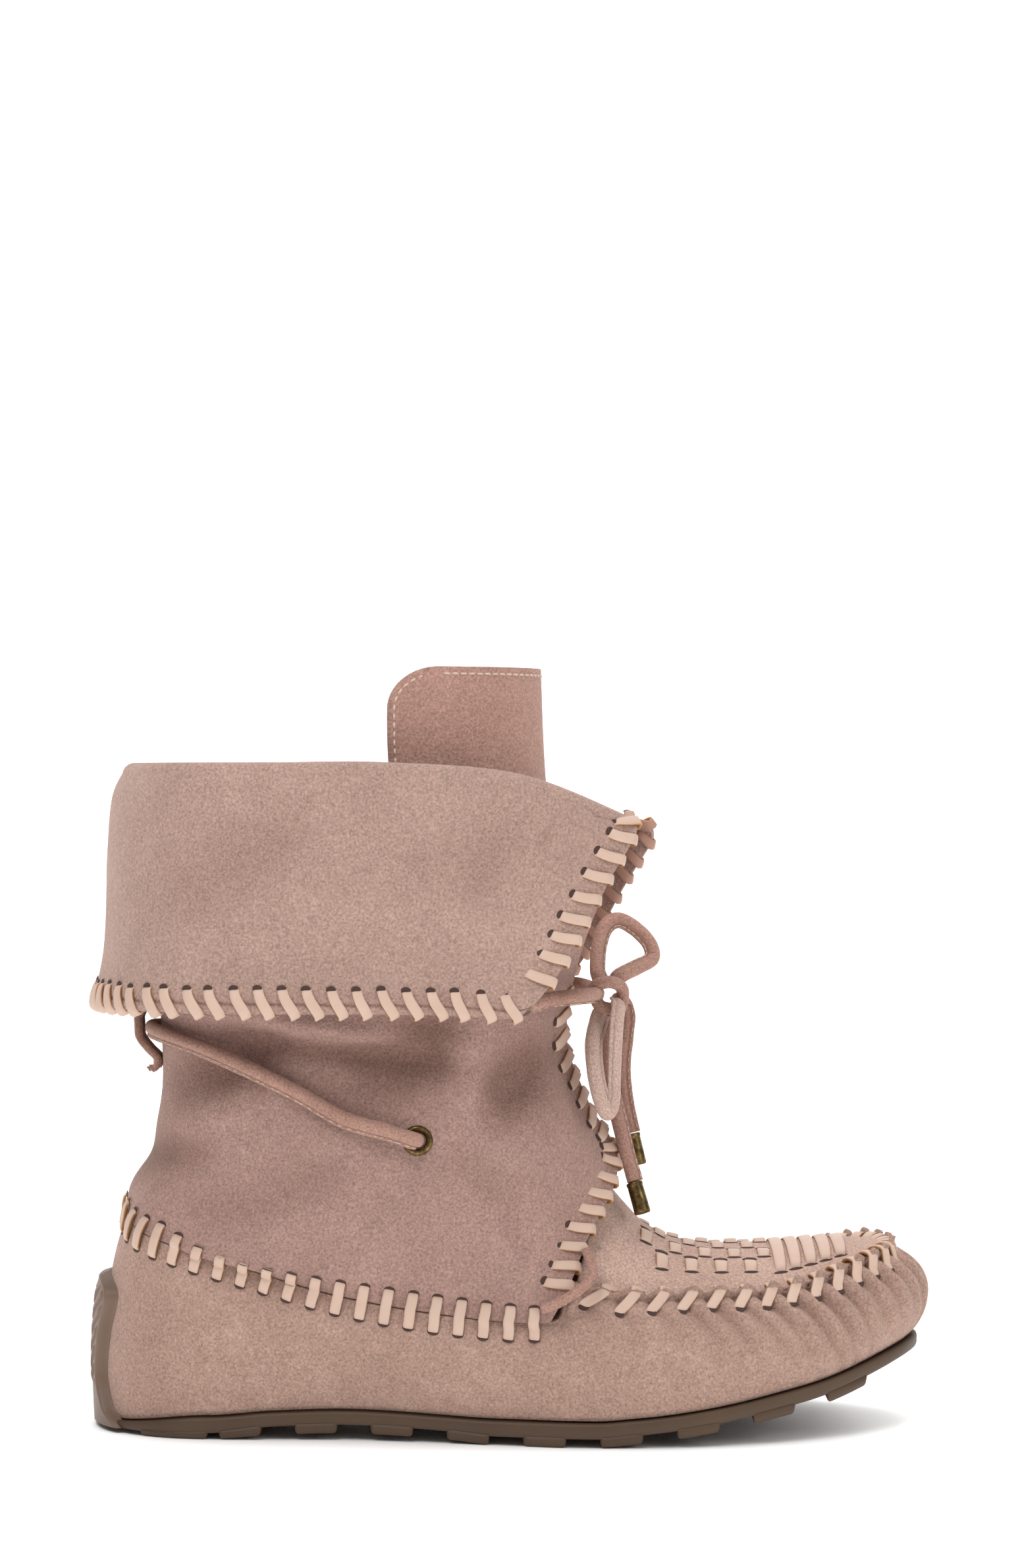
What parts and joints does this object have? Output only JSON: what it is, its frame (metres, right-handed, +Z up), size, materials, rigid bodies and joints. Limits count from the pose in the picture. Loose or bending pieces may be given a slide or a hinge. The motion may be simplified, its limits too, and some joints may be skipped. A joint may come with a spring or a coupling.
{
  "type": "moccasin ankle boot",
  "caption": "Slouchy suede moccasin ankle boot with a fold-down stitched cuff, tall tongue, woven apron, tied drawcord lace and lugged rubber driving sole.",
  "frame": {"origin": "middle of the heel block's flat tread, on the floor", "axes": "+X to the toe, +Z up, -Y is the outer (lateral) side of this right boot"},
  "size_m": [0.2626, 0.12, 0.236],
  "materials": {
    "suede": "dusty rose taupe suede, matt nap",
    "lace": "folded suede lace, matt",
    "lining": "smooth natural leather sock",
    "rubber": "moulded brown rubber, satin",
    "metal": "antique brass, darkened in the recesses"
  },
  "bodies": {
    "root": {"outsole": "rubber", "insole": "lining", "upper": "suede", "shaft": "suede", "cuff": "suede", "tongue": "suede", "heel_keeper": "suede", "eyelet_rear_outer": "metal", "eyelet_front_outer": "metal", "eyelet_rear_inner": "metal", "eyelet_front_inner": "metal", "lace_back": "lace", "lace_front_outer": "lace", "lace_front_inner": "lace", "lace_knot": "lace", "lace_loop_outer": "lace", "lace_loop_inner": "lace", "lace_end_outer": "lace", "lace_end_inner": "lace", "aglet_outer": "metal", "aglet_inner": "metal"}
  },
  "joints": []
}
